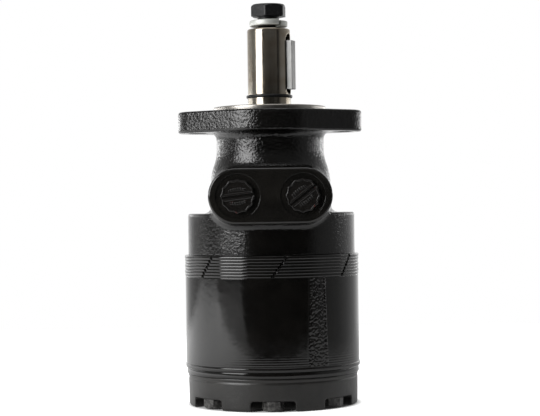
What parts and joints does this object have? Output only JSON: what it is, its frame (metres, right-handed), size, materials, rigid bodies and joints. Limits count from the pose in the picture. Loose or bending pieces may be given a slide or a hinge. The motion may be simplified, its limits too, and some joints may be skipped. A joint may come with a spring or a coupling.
{
  "type": "orbital hydraulic motor",
  "caption": "Low-speed, high-torque orbital hydraulic motor: round bolted stack, two-bolt flange, keyed straight shaft, two side ports closed by plugs.",
  "frame": {"origin": "centre of the end cover's outer face, which it stands on", "axes": "+Z along the output shaft towards its free end, -Y the way the two ports open, +X across the flange's two ears"},
  "size_m": [0.1352, 0.132, 0.2934],
  "materials": {
    "black_paint": "gloss black enamel over machined steel",
    "cast_paint": "gloss black enamel over a rough iron casting, bare machined pilot",
    "bolt_paint": "black paint worn grey on the hex faces",
    "seal_rubber": "matt black seal rubber",
    "hardened_steel": "ground hardened steel, oiled",
    "shaft_steel": "turned and ground steel, warm grey",
    "key_steel": "bright drawn key steel",
    "zinc_plate": "zinc plate, bluish",
    "black_oxide": "black oxide",
    "plug_plastic": "red plastic under black overspray"
  },
  "bodies": {
    "motor_body": {"housing": "cast_paint", "manifold_plate_1": "black_paint", "manifold_plate_2": "black_paint", "manifold_plate_3": "black_paint", "manifold_plate_4": "black_paint", "manifold_plate_5": "black_paint", "manifold_plate_6": "black_paint", "manifold_plate_7": "black_paint", "stator": "black_paint", "balance_plate": "black_paint", "backing_plate": "black_paint", "end_cover": "black_paint", "cover_bolt_1": "bolt_paint", "cover_bolt_2": "bolt_paint", "cover_bolt_3": "bolt_paint", "cover_bolt_4": "bolt_paint", "cover_bolt_5": "bolt_paint", "cover_bolt_6": "bolt_paint", "cover_bolt_7": "bolt_paint", "cover_seal": "seal_rubber", "lower_stator_seal": "seal_rubber", "upper_stator_seal": "seal_rubber", "housing_seal": "seal_rubber", "shaft_seal": "seal_rubber", "dust_seal": "seal_rubber", "seal_washer": "hardened_steel", "front_bearing_cup": "hardened_steel", "rear_bearing_cup": "hardened_steel", "thrust_washer_upper": "hardened_steel"},
    "shaft": {"output_shaft": "shaft_steel", "shaft_key": "key_steel", "retaining_ring": "black_oxide", "lock_washer": "zinc_plate", "shaft_end_bolt": "black_oxide", "thrust_washer_lower": "hardened_steel"},
    "orbit_carrier": {"drive_spacer": "hardened_steel"},
    "rotor": {"rotor": "hardened_steel"},
    "drive_link": {"drive_link": "hardened_steel"},
    "front_cage": {"front_bearing_cage": "hardened_steel"},
    "rear_cage": {"rear_bearing_cage": "hardened_steel"},
    "thrust_cage": {"thrust_bearing_cage": "hardened_steel"},
    "plug_left": {"port_plug_left": "plug_plastic", "port_plug_seal_left": "seal_rubber"},
    "plug_right": {"port_plug_right": "plug_plastic", "port_plug_seal_right": "seal_rubber"},
    "roller_1": {"roller_1": "hardened_steel"},
    "roller_2": {"roller_2": "hardened_steel"},
    "roller_3": {"roller_3": "hardened_steel"},
    "roller_4": {"roller_4": "hardened_steel"},
    "roller_5": {"roller_5": "hardened_steel"},
    "roller_6": {"roller_6": "hardened_steel"},
    "roller_7": {"roller_7": "hardened_steel"}
  },
  "joints": [
    {"name": "shaft_spin", "type": "hinge", "parent": "motor_body", "child": "shaft", "pos_m": [0, 0, 0.2], "axis": [0, 0, 1], "continuous": true},
    {"name": "rotor_orbit", "type": "hinge", "parent": "motor_body", "child": "orbit_carrier", "pos_m": [0, 0, 0.035], "axis": [0, 0, 1], "continuous": true},
    {"name": "rotor_spin", "type": "hinge", "parent": "orbit_carrier", "child": "rotor", "pos_m": [0, 0.00325, 0.0625], "axis": [0, 0, 1], "continuous": true},
    {"name": "link_spin", "type": "hinge", "parent": "orbit_carrier", "child": "drive_link", "pos_m": [0, 0.00162, 0.093], "axis": [0, -0.0378, 0.9993], "continuous": true},
    {"name": "roller_1_spin", "type": "hinge", "parent": "motor_body", "child": "roller_1", "pos_m": [0.01605, -0.03334, 0.0625], "axis": [0, 0, 1], "continuous": true},
    {"name": "roller_2_spin", "type": "hinge", "parent": "motor_body", "child": "roller_2", "pos_m": [0.03607, -0.00823, 0.0625], "axis": [0, 0, 1], "continuous": true},
    {"name": "roller_3_spin", "type": "hinge", "parent": "motor_body", "child": "roller_3", "pos_m": [0.02893, 0.02307, 0.0625], "axis": [0, 0, 1], "continuous": true},
    {"name": "roller_4_spin", "type": "hinge", "parent": "motor_body", "child": "roller_4", "pos_m": [0, 0.037, 0.0625], "axis": [0, 0, 1], "continuous": true},
    {"name": "roller_5_spin", "type": "hinge", "parent": "motor_body", "child": "roller_5", "pos_m": [-0.02893, 0.02307, 0.0625], "axis": [0, 0, 1], "continuous": true},
    {"name": "roller_6_spin", "type": "hinge", "parent": "motor_body", "child": "roller_6", "pos_m": [-0.03607, -0.00823, 0.0625], "axis": [0, 0, 1], "continuous": true},
    {"name": "roller_7_spin", "type": "hinge", "parent": "motor_body", "child": "roller_7", "pos_m": [-0.01605, -0.03334, 0.0625], "axis": [0, 0, 1], "continuous": true},
    {"name": "front_cage_spin", "type": "hinge", "parent": "motor_body", "child": "front_cage", "pos_m": [0, 0, 0.172], "axis": [0, 0, 1], "continuous": true},
    {"name": "rear_cage_spin", "type": "hinge", "parent": "motor_body", "child": "rear_cage", "pos_m": [0, 0, 0.132], "axis": [0, 0, 1], "continuous": true},
    {"name": "thrust_cage_spin", "type": "hinge", "parent": "motor_body", "child": "thrust_cage", "pos_m": [0, 0, 0.1535], "axis": [0, 0, 1], "continuous": true},
    {"name": "plug_left_pull", "type": "slide", "parent": "motor_body", "child": "plug_left", "axis": [0, -1, 0], "range_m": [0, 0.03]},
    {"name": "plug_right_pull", "type": "slide", "parent": "motor_body", "child": "plug_right", "axis": [0, -1, 0], "range_m": [0, 0.03]}
  ],
  "couplings": [
    {"joint": "rotor_orbit", "follows": "shaft_spin", "ratio": -6},
    {"joint": "rotor_spin", "follows": "shaft_spin", "ratio": 7},
    {"joint": "link_spin", "follows": "shaft_spin", "ratio": 7},
    {"joint": "roller_1_spin", "follows": "shaft_spin", "ratio": -3.9},
    {"joint": "roller_2_spin", "follows": "shaft_spin", "ratio": -3.9},
    {"joint": "roller_3_spin", "follows": "shaft_spin", "ratio": -3.9},
    {"joint": "roller_4_spin", "follows": "shaft_spin", "ratio": -3.9},
    {"joint": "roller_5_spin", "follows": "shaft_spin", "ratio": -3.9},
    {"joint": "roller_6_spin", "follows": "shaft_spin", "ratio": -3.9},
    {"joint": "roller_7_spin", "follows": "shaft_spin", "ratio": -3.9},
    {"joint": "front_cage_spin", "follows": "shaft_spin", "ratio": 0.45},
    {"joint": "rear_cage_spin", "follows": "shaft_spin", "ratio": 0.47},
    {"joint": "thrust_cage_spin", "follows": "shaft_spin", "ratio": 0.5}
  ]
}
